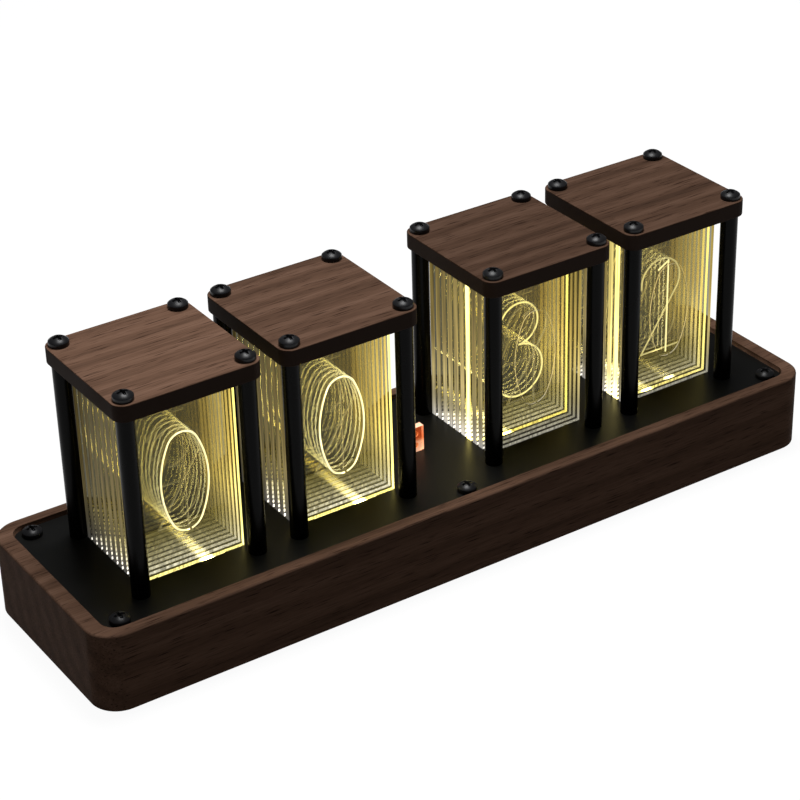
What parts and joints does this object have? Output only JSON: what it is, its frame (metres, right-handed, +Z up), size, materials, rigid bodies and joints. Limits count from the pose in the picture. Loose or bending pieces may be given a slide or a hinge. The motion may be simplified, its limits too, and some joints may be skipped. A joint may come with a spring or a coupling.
{
  "type": "nixie-style digital clock",
  "caption": "Desk clock with edge-lit engraved acrylic digit stacks in square wood-capped towers on a walnut base.",
  "frame": {"origin": "middle of the base, on the surface that the feet stand on", "axes": "+X along the base to the right as seen from the front, +Y to the back, +Z up"},
  "size_m": [0.2354, 0.065, 0.0841],
  "materials": {
    "walnut": "oiled, laser-cut edges darkened",
    "black_acrylic": "satin",
    "black_steel": "black zinc, glossy",
    "black_anodised": "black anodised",
    "clear_acrylic": "polished, edge-lit warm white",
    "colon_acrylic": "polished, edge-lit orange",
    "black_abs": "moulded, matt",
    "button_abs": "moulded, satin",
    "rubber": "matt",
    "circuit_laminate": "solder mask",
    "nylon": "natural",
    "led_package": "moulded",
    "chip_resin": "moulded",
    "cell_steel": "plain",
    "capacitor_can": "plain",
    "socket_steel": "plain"
  },
  "bodies": {
    "clock": {"base_frame": "walnut", "top_plate": "black_acrylic", "top_plate_screws": "black_steel", "bottom_cover": "black_abs", "bottom_cover_screws": "black_steel", "rubber_feet": "rubber", "hour_tens_cap": "walnut", "hour_units_cap": "walnut", "minute_tens_cap": "walnut", "minute_units_cap": "walnut", "hour_tens_posts": "black_anodised", "hour_units_posts": "black_anodised", "minute_tens_posts": "black_anodised", "minute_units_posts": "black_anodised", "cap_screws": "black_steel", "post_screws": "black_steel", "digit_0_sheets": "clear_acrylic", "digit_1_sheets": "clear_acrylic", "digit_2_sheets": "clear_acrylic", "digit_3_sheets": "clear_acrylic", "digit_4_sheets": "clear_acrylic", "digit_5_sheets": "clear_acrylic", "digit_6_sheets": "clear_acrylic", "digit_7_sheets": "clear_acrylic", "digit_8_sheets": "clear_acrylic", "digit_9_sheets": "clear_acrylic", "colon_tab": "colon_acrylic", "circuit_board": "circuit_laminate", "board_spacers": "nylon", "digit_leds": "led_package", "colon_led": "led_package", "microcontroller": "chip_resin", "clock_chip": "chip_resin", "coin_cell": "cell_steel", "cell_holder": "black_abs", "bulk_capacitor": "capacitor_can", "socket_shell": "socket_steel", "socket_tongue": "chip_resin", "button_switches": "black_abs"},
    "set_button": {"set_button": "button_abs"},
    "up_button": {"up_button": "button_abs"},
    "down_button": {"down_button": "button_abs"}
  },
  "joints": [
    {"name": "set_button_press", "type": "slide", "parent": "clock", "child": "set_button", "axis": [0, -1, 0], "range_m": [0, 0.001], "stiffness_N_per_m": 800},
    {"name": "up_button_press", "type": "slide", "parent": "clock", "child": "up_button", "axis": [0, -1, 0], "range_m": [0, 0.001], "stiffness_N_per_m": 800},
    {"name": "down_button_press", "type": "slide", "parent": "clock", "child": "down_button", "axis": [0, -1, 0], "range_m": [0, 0.001], "stiffness_N_per_m": 800}
  ]
}
